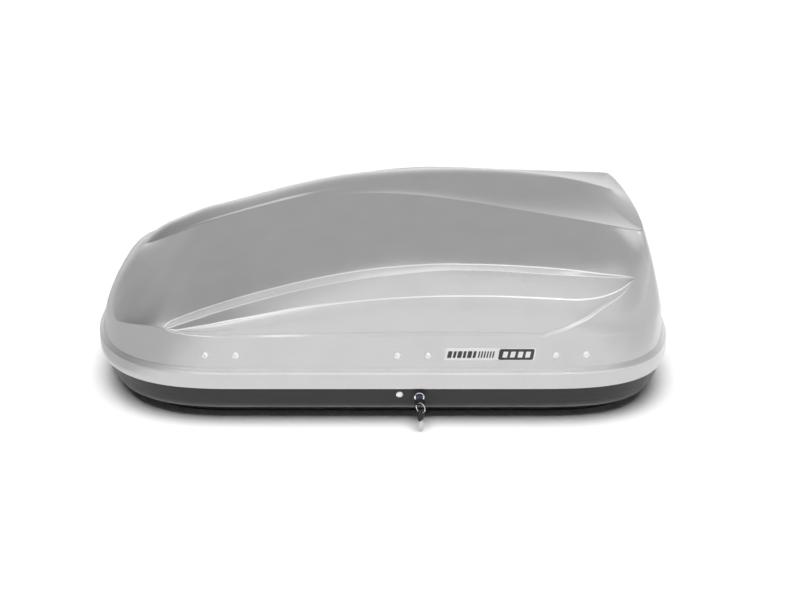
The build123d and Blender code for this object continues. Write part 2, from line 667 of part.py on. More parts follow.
def strut_base_bracket(side):
    """Steel upright on the floor with the tray stud."""
    y, z = stud_place(STRUT_LOW)
    web_x = sorted(side * (STRUT_X + offset) for offset in WEB)
    section = [(245, FLOOR), (328, FLOOR), (300, z + 6), (294, z + 9), (278, z + 9), (272, z + 6)]
    bracket = prism_x(section, *web_x)
    foot_x = sorted((side * (STRUT_X + WEB[0]), side * (STRUT_X + FOOT_END)))
    bracket += block(*foot_x, 245, 328, FLOOR, FLOOR + 2.5)
    bracket += rod((side * (STRUT_X - 4.2), y, z), (side * (STRUT_X + WEB[1]), y, z), STUD_R)
    for x, rivet_y in STRUT_RIVETS:
        bracket -= rod((x, rivet_y, 0), (x, rivet_y, 12), 2.5)
    return bracket


STRUT_LID_RIVETS = [(sx * (STRUT_X + FOOT_MID), z) for sx in (-1, 1) for z in (147.0, 181.0)]


def strut_lid_bracket(side):
    """Gusset inside the lid's far wall with the lid stud."""
    y, z = stud_place(STRUT_HIGH)
    wall_y = side_y(side * (STRUT_X + FOOT_END), 0)
    wall = [(wall_y - lid_inset(h) - WALL - 0.15, h) for h in (139, 190)]
    web_x = sorted(side * (STRUT_X + offset) for offset in WEB)
    section = wall + [(y + 4, z + 8), (y - 5, z + 7), (y - 8, z), (y - 4, z - 8)]
    bracket = prism_x(section, *web_x)
    foot_x = sorted((side * (STRUT_X + WEB[0]), side * (STRUT_X + FOOT_END)))
    foot = wall + [(wall[1][0] - 2.5, wall[1][1]), (wall[0][0] - 2.5, wall[0][1])]
    bracket += prism_x(foot, *foot_x)
    bracket += rod((side * (STRUT_X - 4.2), y, z), (side * (STRUT_X + WEB[1]), y, z), STUD_R)
    for place, out in strut_rivet_places():
        bracket -= rod(Vector(*place) - 14 * out, Vector(*place) + 3 * out, 2.5)
    return bracket


def strut_rivet_places():
    """Rivets on the lid's hinge side over the strut brackets: place, and outward direction."""
    lean = (BELT_INSET - LEDGE_INSET) / (200 - LEDGE_TOP)
    out = Vector(0, 1, lean).normalized()
    return [((x, side_y(x, 0) - lid_inset(z) + 0.1, z), out) for x, z in STRUT_LID_RIVETS]


# ---------------------------------------------------------------- straps
STRAP_W = 25.0
STRAP_T = 1.6


def strap(x):
    """Webbing lying across the floor, over the ribs and the steel strips."""
    top = []
    for y, z in ((-216, 6.6), (-203, 9.6), (-138, 9.6), (-128, 3.4), (-113, 3.4), (-107, 9.4), (-63, 9.4),
                 (-57, 3.4), (0, 3.4)):
        top.append((y, z))
    path = top + [(-y, z) for y, z in reversed(top[:-1])]
    upper = [(y, z + STRAP_T) for y, z in reversed(path)]
    return prism_x(path + upper, x - STRAP_W / 2, x + STRAP_W / 2)


def strap_slider(x):
    """Ladder-lock adjuster on the strap."""
    frame = block(x - 18, x + 18, -24, 12, 5.2, 12)
    for y0, y1 in ((-20, -12), (-7, 1), (3, 9)):
        frame -= block(x - 13.5, x + 13.5, y0, y1, 0, 20)
    frame += block(x - 13.5, x + 13.5, -11, -8, 9, 12)
    return chamfer(frame.edges().filter_by(Axis.Z).group_by(SortBy.LENGTH)[-1], 0.8)


def strap_anchor(x, y):
    """Footman loop: the strap's end passes under its bar."""
    plate = block(x - 30, x + 30, y - 8, y + 8, FLOOR, FLOOR + 2)
    bridge = block(x - 17, x + 17, y - 5, y + 5, FLOOR + 2, 14)
    bridge -= block(x - 14, x + 14, y - 9, y + 9, FLOOR + 2, 11)
    loop = plate + bridge
    for dx in (-23, 23):
        loop -= rod((x + dx, y, 0), (x + dx, y, 12), 2.5)
    return loop


# ---------------------------------------------------------------- lid shell
SIDE_STEPS = (0.03, 0.08, 0.15, 0.25, 0.45, 0.70)
ROW_POINTS = 44


def skin_rows(depth):
    """Rows of points over half the lid, from its foot to the crown, `depth` under the surface."""
    grid = []
    us = [i / ROW_POINTS for i in range(ROW_POINTS + 1)]
    foot = []
    for u in us:
        x, y = rim(u, LEDGE_INSET)
        foot.append(Vector(x, y, LEDGE_TOP - 2.5))
    grid.append(foot)
    grid.append([Vector(*side_point(u, 0)) for u in us])
    for h in SIDE_STEPS:
        grid.append([Vector(*side_point(u, h)) for u in us])
    for t in (0, 0.5, 1, 1.5, 2):
        grid.append([Vector(*deck_point(u, t)) for u in us])
    if depth == 0:
        return grid
    return [[sunk(grid, r, c, depth) for c in range(len(us))] for r in range(len(grid))]


def sunk(grid, r, c, depth):
    """A grid point moved inwards along the surface normal, kept on the middle plane and foot plane."""
    last_r, last_c = len(grid) - 1, len(grid[0]) - 1
    along = grid[r][min(c + 1, last_c)] - grid[r][max(c - 1, 0)]
    if c in (0, last_c):
        along = Vector(0, 1, 0) if c == 0 else Vector(0, -1, 0)
    across = Vector(0, 0, 0)
    if r < last_r:
        across += (grid[r + 1][c] - grid[r][c]).normalized()
    if r > 0:
        across += (grid[r][c] - grid[r - 1][c]).normalized()
    normal = across.cross(along).normalized()
    if normal.Z > 0 or (abs(normal.Z) < 0.3 and normal.dot(grid[r][c] - Vector(0, 0, grid[r][c].Z)) > 0):
        normal = normal * -1
    moved = grid[r][c] + normal * depth
    y = max(moved.Y, 0)
    if c in (0, last_c) or r == last_r:
        y = 0
    z = grid[0][0].Z if r == 0 else moved.Z
    return Vector(moved.X, y, z)


def half_skin(rows):
    """Ruled faces between the rows of one half."""
    params = [i / ROW_POINTS for i in range(ROW_POINTS + 1)]
    edges = [Edge.make_spline(row, parameters=params) for row in rows]
    return [Face.make_surface_from_curves(a, b) for a, b in zip(edges, edges[1:])], edges[0]


def closed_form(rows):
    """Solid under the whole skin, closed by a flat foot."""
    faces, foot = half_skin(rows)
    mirrored = [face.mirror(Plane.XZ) for face in faces]
    bottom = Face(Wire([foot, foot.mirror(Plane.XZ)]))
    return Solid(Shell(faces + mirrored + [bottom]))


def lid_shell():
    """Silver lid: formed skin, sloped ledge and the band that hangs over the tray's rim."""
    skin = closed_form(skin_rows(0)) - closed_form(skin_rows(WALL))
    joint = LEDGE_INSET + WALL / 2
    band = stack(((0, SKIRT_BOTTOM), (0, SKIRT_TOP), (joint, LEDGE_TOP + 0.8)))
    hollow = stack(((WALL, SKIRT_BOTTOM - 1), (WALL, SKIRT_TOP - 2.6), (joint, LEDGE_TOP - 2.5),
                    (joint, LEDGE_TOP + 3)))
    shell = skin + (band - hollow)
    for x in HINGE_AT:
        for dx in (-20, 20):
            shell -= rod((x + dx, 410, LID_LEAF_Z), (x + dx, 425, LID_LEAF_Z), 2.5)
    for x in STRIKER_AT:
        for place, out in latch_rivet_places(x):
            shell -= rod(Vector(*place) - 8 * Vector(*out), Vector(*place) + 3 * Vector(*out), 2.5)
    for place, out in strut_rivet_places():
        shell -= rod(Vector(*place) - 8 * out, Vector(*place) + 3 * out, 2.5)
    return shell


def side_badge():
    """Plain plaque on the lid's side."""
    section = [(-(HALF_WIDTH - lid_inset(z)) - 0.02, z) for z in (150, 177)]
    section += [(y - 0.7, z) for y, z in reversed(section)]
    plate = prism_x(section, 141.5, 336)
    return plate


# ---------------------------------------------------------------- build
def main():
    os.makedirs("parts", exist_ok=True)
    put("base_shell", base_shell())
    put("stiffener_left", stiffener(1))
    put("stiffener_right", stiffener(-1))
    put("stiffener_rivets", *floor_rivets(STIFFENER_RIVETS, STIFFENER_T))
    put("strut_bracket_rivets", *floor_rivets(STRUT_RIVETS, 2.5))
    put("strap_anchor_rivets", *floor_rivets(ANCHOR_RIVETS, 2.0))
    places = ("front", "middle", "rear")
    for name, x in zip(places, HINGE_AT):
        put(f"hinge_base_leaf_{name}", hinge_base_leaf(x))
        put(f"hinge_lid_leaf_{name}", hinge_lid_leaf(x))
        put(f"hinge_pin_{name}", hinge_pin(x))
    outward = (0, WALL_OUT_Y, WALL_OUT_Z)
    lift = 1.6
    leaf_tops = [(x, y + lift * WALL_OUT_Y, z + lift * WALL_OUT_Z) for x, y, z in base_hinge_screws()]
    put("hinge_base_rivets", *[rivet(top, outward, 5.5, 1.8, 2.4, 5.1) for top in leaf_tops])
    band_places = [(x + dx, HALF_WIDTH + 0.03, LID_LEAF_Z) for x in HINGE_AT for dx in (-20, 20)]
    put("hinge_lid_rivets", *[rivet(place, (0, 1, 0), 5.5, 1.8, 2.4, 4.8, 1.0) for place in band_places])
    put("lock_case", lock_case())
    put("lock_bezel", lock_bezel())
    put("lock_rivet", rivet(LOCK_RIVET, (0, -WALL_OUT_Y, WALL_OUT_Z), 7.5, 3.2, 2.4, 13.1))
    put("lock_cylinder", lock_cylinder())
    put("lock_cam", lock_cam())
    put("latch_rail", latch_rail())
    for name, x in zip(places, STRIKER_AT):
        put(f"latch_hook_{name}", latch_hook(x))
        put(f"striker_{name}", striker(x))
    for number, x in enumerate(GUIDE_AT, 1):
        put(f"rail_guide_{number}", guide(x))
    put("rail_guide_screws", *[guide_screw(x) for x in GUIDE_AT])
    lid_rivets = [spot for x in STRIKER_AT for spot in latch_rivet_places(x)]
    put("lid_latch_rivets", *[rivet(place, out, 6.6, 3.0, 2.4, 6.8) for place, out in lid_rivets])
    put("key_bow", key_bow())
    put("key_blade", key_blade())
    put("key_ring", key_ring())
    put("spare_key_bow", spare_key_bow())
    put("spare_key_blade", spare_key_blade())
    for name, side in (("front", -1), ("rear", 1)):
        put(f"strut_{name}_cylinder", strut_cylinder(side))
        put(f"strut_{name}_rod", strut_rod(side))
        put(f"strut_{name}_base_bracket", strut_base_bracket(side))
        put(f"strut_{name}_lid_bracket", strut_lid_bracket(side))
        put(f"strap_{name}", strap(side * ANCHOR_X))
        put(f"strap_{name}_slider", strap_slider(side * ANCHOR_X))
    put("strap_anchors", *[strap_anchor(x, y) for x, y in corners(ANCHOR_X, ANCHOR_Y)])
    put("strut_lid_rivets", *[rivet(place, out, 6.0, 2.0, 2.4, 6.2) for place, out in strut_rivet_places()])
    put("side_badge", side_badge())
    put("lid_shell", lid_shell())


main()
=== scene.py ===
"""Roof cargo box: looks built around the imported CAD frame. Metres, +X to the tail, -Y opens."""
from bisect import bisect_right
from math import cos, hypot, pi, radians, sin, sqrt

import bmesh
import bpy
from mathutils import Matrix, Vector
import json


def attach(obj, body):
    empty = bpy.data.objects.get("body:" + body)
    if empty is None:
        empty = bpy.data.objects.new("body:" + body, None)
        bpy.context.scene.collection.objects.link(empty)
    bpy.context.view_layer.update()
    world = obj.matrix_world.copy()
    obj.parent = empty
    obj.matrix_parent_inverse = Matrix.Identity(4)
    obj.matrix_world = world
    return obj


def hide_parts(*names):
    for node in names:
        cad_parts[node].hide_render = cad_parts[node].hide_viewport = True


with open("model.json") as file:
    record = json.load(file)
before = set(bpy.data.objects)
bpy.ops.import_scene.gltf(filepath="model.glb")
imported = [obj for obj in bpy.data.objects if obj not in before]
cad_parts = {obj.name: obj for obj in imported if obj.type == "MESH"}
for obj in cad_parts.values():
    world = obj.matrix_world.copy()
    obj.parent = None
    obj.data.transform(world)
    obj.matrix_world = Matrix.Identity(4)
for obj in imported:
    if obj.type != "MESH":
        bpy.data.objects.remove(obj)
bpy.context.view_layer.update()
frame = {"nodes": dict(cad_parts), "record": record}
NODES = frame["nodes"]
MM = 0.001


# ---------------------------------------------------------------- camera
CAMERA_TARGET, CAMERA_DISTANCE = (0.047, 0, 0.123), 2.787
CAMERA_ELEVATION = radians(22)


def add_camera():
    """A catalogue view, from above the opening side."""
    data = bpy.data.cameras.new("camera")
    data.sensor_width = 36
    data.lens = 51.03
    camera = bpy.data.objects.new("camera", data)
    bpy.context.scene.collection.objects.link(camera)
    back = Vector((0, -cos(CAMERA_ELEVATION), sin(CAMERA_ELEVATION)))
    camera.location = Vector(CAMERA_TARGET) + back * CAMERA_DISTANCE
    camera.rotation_mode = "QUATERNION"
    camera.rotation_quaternion = (-back).to_track_quat("-Z", "Y")
    data.clip_start, data.clip_end = 0.1, 60
    bpy.context.scene.camera = camera


# ---------------------------------------------------------------- plan outline, millimetres
HALF_WIDTH = 420.0
NOSE_START, NOSE_LENGTH = -290.0, 375.0
TAIL_START, TAIL_LENGTH = 300.0, 370.0
BELT_INSET = 18.0
BAND_FOOT, BAND_TOP = 88.0, 123.6
LEDGE_IN, LEDGE_TOP = 11.0, 131.0
WALL_IN, WALL_FOOT = 11.6, 133.5
LID_WALL = 2.8


def half_outline(steps=600):
    """The rim from the nose tip round one side to the tail tip."""
    nose, tail = [], []
    for i in range(steps + 1):
        a = pi / 2 * i / steps
        nose.append((NOSE_START - NOSE_LENGTH * cos(a) ** (2 / 2.75), HALF_WIDTH * sin(a) ** (2 / 2.45)))
        tail.append((TAIL_START + TAIL_LENGTH * cos(a) ** (2 / 3.4), HALF_WIDTH * sin(a) ** (2 / 3.0)))
    return nose + tail[-2::-1]


OUTLINE = half_outline()
RUN = [0.0]
for p, q in zip(OUTLINE, OUTLINE[1:]):
    RUN.append(RUN[-1] + hypot(q[0] - p[0], q[1] - p[1]))


def on_rim(u):
    """Point of the half outline at the fraction u of its length."""
    s = u * RUN[-1]
    i = min(bisect_right(RUN, s) - 1, len(RUN) - 2)
    t = (s - RUN[i]) / (RUN[i + 1] - RUN[i])
    (x0, y0), (x1, y1) = OUTLINE[i], OUTLINE[i + 1]
    return x0 + (x1 - x0) * t, y0 + (y1 - y0) * t


def rim(u, inset):
    """The rim moved inwards, square to itself."""
    if u <= 0:
        return OUTLINE[0][0] + inset, 0.0
    if u >= 1:
        return OUTLINE[-1][0] - inset, 0.0
    x, y = on_rim(u)
    reach = min(0.004, u, 1 - u)
    x0, y0 = on_rim(u - reach)
    x1, y1 = on_rim(u + reach)
    run = hypot(x1 - x0, y1 - y0)
    return x + inset * (y1 - y0) / run, y - inset * (x1 - x0) / run


# ---------------------------------------------------------------- lid surface
CREASE = (
    (0.00, -566, 0, 282), (0.05, -563, 18, 282), (0.10, -553, 38, 283), (0.15, -525, 49, 294),
    (0.20, -480, 52, 312.5), (0.25, -420, 53, 336.5), (0.30, -350, 53, 358), (0.35, -272, 53, 380),
    (0.40, -180, 55, 403), (0.45, -85, 76, 417), (0.50, 10, 100, 426), (0.55, 105, 123, 426.5),
    (0.60, 199, 144, 419.5), (0.65, 290, 164, 410), (0.70, 375, 184, 401.5), (0.75, 450, 203, 394),
    (0.80, 515, 221, 387), (0.84, 560, 234, 382.5), (0.862, 577, 231, 381.5), (0.88, 581.5, 208, 383),
    (0.91, 585.5, 160, 385), (0.95, 589, 88, 386), (1.00, 590.5, 0, 386),
)
SPINE = (
    (0.00, -557, 0, 288), (0.05, -555.5, 16.5, 287.5), (0.10, -546, 35, 289), (0.15, -519, 44, 299),
    (0.20, -476, 47, 318), (0.25, -417, 48.5, 341.5), (0.30, -349, 48.5, 363.5), (0.35, -272, 48, 386),
    (0.40, -180, 48, 409.5), (0.45, -85, 48, 428), (0.50, 10, 48, 438), (0.55, 105, 47, 443),
    (0.60, 199, 43, 445), (0.65, 290, 34, 444), (0.70, 365, 20, 441.5), (0.75, 425, 9, 435),
    (0.80, 468, 5, 427), (0.85, 500, 3.5, 418.5), (0.90, 522, 2.5, 412), (0.95, 537, 1.5, 407),
    (1.00, 546, 0, 404),
)
CROWN = (
    (0.00, -545, 297), (0.10, -534, 305.5), (0.15, -511, 319.5), (0.20, -470, 337), (0.25, -415, 358),
    (0.30, -348, 374.5), (0.35, -272, 394), (0.40, -180, 418), (0.45, -85, 436.5), (0.50, 10, 446.5),
    (0.55, 105, 452), (0.60, 199, 453), (0.65, 288, 450), (0.70, 362, 444), (0.75, 421, 436.5),
    (0.80, 463, 428), (0.85, 494, 420), (0.90, 515, 414), (0.95, 530, 409.5), (1.00, 540, 406),
)
BELT = (
    (0.00, 153), (0.06, 158), (0.12, 173), (0.16, 187), (0.20, 204), (0.24, 212), (0.27, 204),
    (0.30, 200.5), (0.36, 200), (0.50, 200), (0.70, 200), (0.80, 197), (0.88, 191), (1.00, 186),
)
SIDE = (
    (0.00, 0.00, 1.5, 1.4), (0.10, 0.20, 1.8, 1.45), (0.15, 0.60, 2.4, 1.6), (0.20, 0.86, 4, 1.8),
    (0.25, 0.84, 7, 2), (0.30, 0.74, 9, 2), (0.35, 0.62, 9, 2), (0.40, 0.54, 9, 2), (0.45, 0.47, 9, 2),
    (0.50, 0.42, 9, 2), (0.60, 0.42, 9, 2), (0.70, 0.42, 7, 1.9), (0.75, 0.43, 5.5, 1.7),
    (0.80, 0.45, 4, 1.5), (0.85, 0.60, 2.5, 1.3), (0.90, 0.80, 2, 1.2), (1.00, 0.85, 2, 1.2),
)
# Lines of the pressed panel on the side: u, and the share of the height they run at.
PANEL_TOP = (
    (0.00, 0.0105), (0.20, 0.0105), (0.2528, 0.0107), (0.259, 0.0445), (0.2657, 0.065), (0.2795, 0.0957),
    (0.2935, 0.1165), (0.3075, 0.131), (0.3168, 0.1375), (0.3514, 0.150), (0.385, 0.158), (0.4516, 0.173),
    (0.5177, 0.185), (0.5838, 0.2223), (0.6506, 0.2516), (0.7203, 0.265), (0.745, 0.262), (0.800, 0.258),
    (1.00, 0.258),
)
PANEL_UNDER = (
    (0.00, 0.008), (0.20, 0.008), (0.2528, 0.008), (0.2604, 0.0126), (0.2673, 0.028), (0.2812, 0.050),
    (0.2951, 0.066), (0.3088, 0.081), (0.3181, 0.086), (0.3521, 0.0995), (0.407, 0.116), (0.463, 0.128),
    (0.518, 0.138), (0.573, 0.172), (0.627, 0.194), (0.683, 0.206), (0.745, 0.234), (0.800, 0.252),
    (1.00, 0.252),
)
RIDGE = (
    (0.00, 0.0065), (0.20, 0.0065), (0.2528, 0.0068), (0.2681, 0.0078), (0.2753, 0.0137), (0.2824, 0.0187),
    (0.2965, 0.026), (0.3104, 0.0307), (0.3195, 0.0336), (0.353, 0.0375), (0.407, 0.0455), (0.463, 0.0465),
    (0.518, 0.048), (0.573, 0.055), (0.627, 0.063), (0.683, 0.071), (0.720, 0.082), (0.745, 0.107),
    (0.768, 0.150), (0.800, 0.247), (1.00, 0.247),
)
PANEL_FOOT = (
    (0.00, 0.0045), (0.20, 0.0045), (0.2528, 0.0045), (0.2569, 0.0011), (0.2608, 0.0003), (0.2683, 0.00015),
    (0.297, 0.0002), (0.3106, 0.00007), (0.35, 0.00001), (0.65, 0.00001), (0.680, 0.0004), (0.705, 0.006),
    (0.728, 0.026), (0.745, 0.060), (0.768, 0.113), (0.800, 0.240), (1.00, 0.240),
)
PANEL_DEPTH = (
    (0.00, 0), (0.2512, 0), (0.2545, 1.0), (0.260, 2.2), (0.275, 3.8), (0.30, 5), (0.36, 6), (0.65, 6),
    (0.72, 5), (0.77, 3), (0.803, 0), (1.00, 0),
)
# Painted highlights on the panel's edges, how much their colour is lifted: foot, ridge, lower and upper edge
# of the bevel.
PAINTED_EDGE_HIGHLIGHTS = (
    (0.00, 0.95, 1.2, 0.50, 1.5), (0.29, 0.95, 1.2, 0.50, 1.5), (0.32, 0.75, 1.2, 0.45, 1.4),
    (0.352, 0.15, 1.0, 0.35, 0.9), (0.40, 0.12, 0.60, 0.20, 0.6), (0.45, 0.10, 0.22, 0.20, 0.55),
    (0.518, 0.12, 0.20, 0.22, 0.5), (0.55, 0.18, 0.28, 0.28, 0.6), (0.584, 0.25, 0.40, 0.32, 0.75),
    (0.62, 0.32, 0.50, 0.38, 0.9), (0.65, 0.42, 0.75, 0.42, 1.0), (0.69, 0.50, 0.90, 0.45, 1.0),
    (0.72, 0.50, 1.0, 0.45, 0.9), (1.00, 0.5, 1.0, 0.5, 0.9),
)
# Painted shade on the panel's bevel: how much its colour is darkened, along the side.
SHADE = ((0.00, 0.20), (0.26, 0.20), (0.42, 0.17), (0.55, 0.12), (0.75, 0.07), (1.00, 0.07))


def key_slope(keys, k, column):
    """Slope of a keyed curve at its key k."""
    before, after = max(k - 1, 0), min(k + 1, len(keys) - 1)
    left, right = keys[k][0] - keys[before][0], keys[after][0] - keys[k][0]
    rise_left = keys[k][column] - keys[before][column]
    rise_right = keys[after][column] - keys[k][column]
    if left == 0:
        return rise_right / right
    if right == 0:
        return rise_left / left
    return (rise_left / left * right + rise_right / right * left) / (left + right)


def curve(keys, u):
    """Smooth curve through keys of (u, value, value...)."""
    k = 0
    while k < len(keys) - 2 and keys[k + 1][0] < u:
        k += 1
    span = keys[k + 1][0] - keys[k][0]
    t = (u - keys[k][0]) / span
    values = []
    for column in range(1, len(keys[0])):
        value = keys[k][column] * (2 * t**3 - 3 * t**2 + 1)
        value += keys[k + 1][column] * (3 * t**2 - 2 * t**3)
        value += key_slope(keys, k, column) * span * (t**3 - 2 * t**2 + t)
        value += key_slope(keys, k + 1, column) * span * (t**3 - t**2)
        values.append(value)
    return values


def level(keys, u):
    """A one-value curve, kept from swinging past its two keys."""
    k = 0
    while k < len(keys) - 2 and keys[k + 1][0] < u:
        k += 1
    low, high = sorted((keys[k][1], keys[k + 1][1]))
    return min(max(curve(keys, u)[0], low), high)


class Side:
    """The lid's side at one u, from the belt line (h = 0) to the deck's crease (h = 1)."""

    def __init__(self, u):
        self.belt = Vector((*rim(u, BELT_INSET), curve(BELT, u)[0]))
        self.crease = Vector(curve(CREASE, u))
        self.shape = curve(SIDE, u)

    def at(self, h):
        straight, roundness, sharpness = self.shape
        rise = straight * h + (1 - straight) * max(0, 1 - (1 - h) ** roundness) ** (1 / sharpness)
        flat = self.belt.lerp(self.crease, h)
        flat.z = self.belt.z + (self.crease.z - self.belt.z) * rise
        return flat


def deck_point(u, t):
    """From the crease, t = 0, over the spine's edge, t = 1, to its crown, t = 2."""
    edge = Vector(curve(SPINE, u))
    if t <= 1:
        crease = Vector(curve(CREASE, u))
        flat = crease.lerp(edge, t)
        flat.z -= 0.22 * hypot(crease.x - edge.x, crease.y - edge.y) * t * (1 - t)
        return flat
    crown_x, crown_z = curve(CROWN, u)
    s = t - 1
    bow = s * (1 + min(1, max(0, (u - 0.04) / 0.12)) * (1 - s))
    return Vector((edge.x + (crown_x - edge.x) * s, edge.y * (1 - s), edge.z + (crown_z - edge.z) * bow))


def resample(points, start, stop, count):
    """`count` points evenly along a polyline, between two distances from its ends."""
    run = [0.0]
    for a, b in zip(points, points[1:]):
        run.append(run[-1] + (b - a).length)
    first, last = start, run[-1] - stop
    out = []
    for i in range(count):
        s = first + (last - first) * i / (count - 1)
        k = min(max(bisect_right(run, s) - 1, 0), len(run) - 2)
        step = run[k + 1] - run[k]
        t = (s - run[k]) / step if step > 1e-9 else 0.0
        out.append(points[k].lerp(points[k + 1], t))
    return out


def length(points):
    return sum((b - a).length for a, b in zip(points, points[1:]))


def rounded_line(legs):
    """Joins legs of (points, count, corner radius, corner painted light, painted light along the leg) into
    one line.

    Each returned entry is a point and its painted light: how much the plastic's colour is lifted there as a
    painted highlight, or darkened as painted shade.
    """
    out = []
    cut = 0.0
    for i, (points, count, radius, painted_light_and_shade, *body) in enumerate(legs):
        low, high = body or (0.0, 0.0)
        here = length(points)
        ahead = length(legs[i + 1][0]) if i + 1 < len(legs) else 0.0
        far = min(radius, 0.42 * here, 0.42 * ahead) if ahead else 0.0
        part = resample(points, cut, far, count)
        out.extend((p, low + (high - low) * k / (count - 1)) for k, p in enumerate(part))
        if ahead:
            corner = points[-1]
            away = resample(legs[i + 1][0], far, 0.0, 2)[0]
            for t in (0.25, 0.5, 0.75):
                place = part[-1] * (1 - t) ** 2 + corner * 2 * t * (1 - t) + away * t * t
                out.append((place, painted_light_and_shade))
        cut = far
    return out


def panel_line(u, side, outward):
    """The side's legs between the belt and the crease, with the panel pressed in."""
    depth = level(PANEL_DEPTH, u)
    g = [sqrt(level(keys, u)) for keys in (PANEL_FOOT, RIDGE, PANEL_UNDER, PANEL_TOP)]
    foot, ridge, under, top = g
    step = foot + min(0.027, 0.30 * (ridge - foot))
    # glow fades the panel's painted highlights and painted shade where the panel is shallow; lights are the
    # edges' painted highlights, shade the bevel's painted shade.
    glow = min(1.0, depth / 1.6)
    lights = [glow * value for value in curve(PAINTED_EDGE_HIGHLIGHTS, u)]
    shade = -glow * level(SHADE, u)

    def leg(g0, g1, d0, d1, sag, count):
        points = []
        for i in range(count + 1):
            t = i / count
            here = side.at((g0 + (g1 - g0) * t) ** 2)
            sink = depth * (d0 + (d1 - d0) * t + 4 * sag * t * (1 - t))
            points.append(here - outward * sink)
        return points

    # Painted highlights at the foot, ridge and bevel edges; painted shade at the step's corner and along the
    # bevel.
    return [
        (leg(0, foot, 0, 0, 0, 6), 3, 1.4, lights[0]),
        (leg(foot, step, 0, 0.50, 0, 4), 4, 1.6, -0.16 * glow),
        (leg(step, ridge, 0.50, -0.28, -0.06, 12), 10, 2.2, lights[1]),
        (leg(ridge, under, -0.28, 1.0, 0.30, 14), 12, 1.3, lights[2], 0, shade),
        (leg(under, top, 1.0, -0.04, 0, 8), 6, 1.7, lights[3], shade, shade),
        (leg(top, 1, -0.04, 0, 0, 90), 60, 3.0, 0.0),
    ]


def lid_line(u):
    """Outer skin at one u, from the foot of the band to the crown of the spine."""
    def low(inset, z):
        return Vector((*rim(u, inset), z))

    side = Side(u)
    x0, y0 = rim(u, 0)
    x1, y1 = rim(u, 10)
    outward = Vector((x0 - x1, y0 - y1, 4)).normalized()
    # A leg's fourth entry is painted light at its end corner, a painted highlight above 0 and painted shade
    # below; the fifth and sixth paint it along the leg. The band's top edge gets a painted highlight, the
    # ledge's face is painted lighter and its corner with the wall gets painted shade.
    legs = [
        ([low(2.6, BAND_FOOT), low(0.4, BAND_FOOT)], 2, 1.0, 0.0),
        ([low(0.4, BAND_FOOT), low(0, 100)], 4, 1.5, 0.0),
        ([low(0, 100), low(0.3, BAND_TOP)], 6, 1.8, 0.35),
        ([low(0.3, BAND_TOP), low(LEDGE_IN, LEDGE_TOP)], 5, 1.0, -0.10, 0.36, 0.30),
        ([low(LEDGE_IN, LEDGE_TOP), low(WALL_IN, WALL_FOOT)], 2, 0.8, 0.0),
        ([low(WALL_IN, WALL_FOOT), low(BELT_INSET, side.belt.z)], 10, 2.5, 0.0),
    ]
    legs += panel_line(u, side, outward)
    legs.append(([deck_point(u, i / 30) for i in range(31)], 24, 1.8, 0.0))
    legs.append(([deck_point(u, 1 + i / 12) for i in range(13)], 9, 0, 0.0))
    return rounded_line(legs)


def mesh_object(name, verts, faces, smooth=True):
    """New object from points in millimetres."""
    mesh = bpy.data.meshes.new(name)
    mesh.from_pydata([tuple(v * MM) for v in map(Vector, verts)], [], faces)
    mesh.update()
    obj = bpy.data.objects.new(name, mesh)
    bpy.context.scene.collection.objects.link(obj)
    for polygon in mesh.polygons:
        polygon.use_smooth = smooth
    return obj


def weld(obj, distance=0.00002):
    """Merge double points and make the faces look outwards. Distances are in metres."""
    bm = bmesh.new()
    bm.from_mesh(obj.data)
    bmesh.ops.remove_doubles(bm, verts=bm.verts, dist=distance)
    bmesh.ops.dissolve_degenerate(bm, edges=bm.edges, dist=distance / 4)
    bmesh.ops.recalc_face_normals(bm, faces=bm.faces)
    bm.to_mesh(obj.data)
    bm.free()
    return obj


def swept(name, line, us):
    """Surface through line(u) for each u, on both sides of the middle, with its painted light and shade kept
    as a point attribute.
    """
    rows = [line(u) for u in us]
    count = len(rows[0])
    verts, faces, painted_light_and_shade = [], [], []
    for sign in (1, -1):
        base = len(verts)
        for row in rows:
            verts.extend((p.x, p.y * sign, p.z) for p, _ in row)
            painted_light_and_shade.extend(value for _, value in row)
        for i in range(len(rows) - 1):
            for k in range(count - 1):
                a = base + i * count + k
                quad = (a, a + 1, a + count + 1, a + count)
                faces.append(quad if sign > 0 else quad[::-1])
    obj = mesh_object(name, verts, faces)
    layer = obj.data.attributes.new("painted_light_and_shade", "FLOAT", "POINT")
    layer.data.foreach_set("value", painted_light_and_shade)
    return weld(obj)


def dress(obj, body, material):
    """Let a piece ride on its body, and give it its material."""
    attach(obj, body)
    obj.data.materials.append(MATERIALS[material])


def lid_stations():
    """Stations along the rim, closer together round the nose and at the panel's ends."""
    stations = {0.0, 1.0}
    for i in range(1, 220):
        stations.add(i / 220)
    for i in range(64):
        stations.add(0.2508 + 0.056 * i / 64)
    for i in range(40):
        stations.add(0.70 + 0.115 * i / 40)
        stations.add(0.83 + 0.07 * i / 40)
    return sorted(stations)


def make_lid():
    """Lid shell with its band, ledge, pressed panel and spine."""
    # The skin carries painted highlights and painted shade along its creases and panel.
    lid = swept("lid_skin", lid_line, lid_stations())
    sheet = lid.modifiers.new("sheet", "SOLIDIFY")
    sheet.thickness = LID_WALL * MM
    sheet.offset = -1
    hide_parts("lid_shell")
    dress(lid, "lid", "lid_plastic")


# ---------------------------------------------------------------- badge and rivets
def on_wall(x, z, lift):
    """Point on the opening side's wall, `lift` mm in front of it."""
    inset = WALL_IN + (BELT_INSET - WALL_IN) * (z - WALL_FOOT) / 66.5
    return Vector((x, -(HALF_WIDTH - inset) - lift, z))


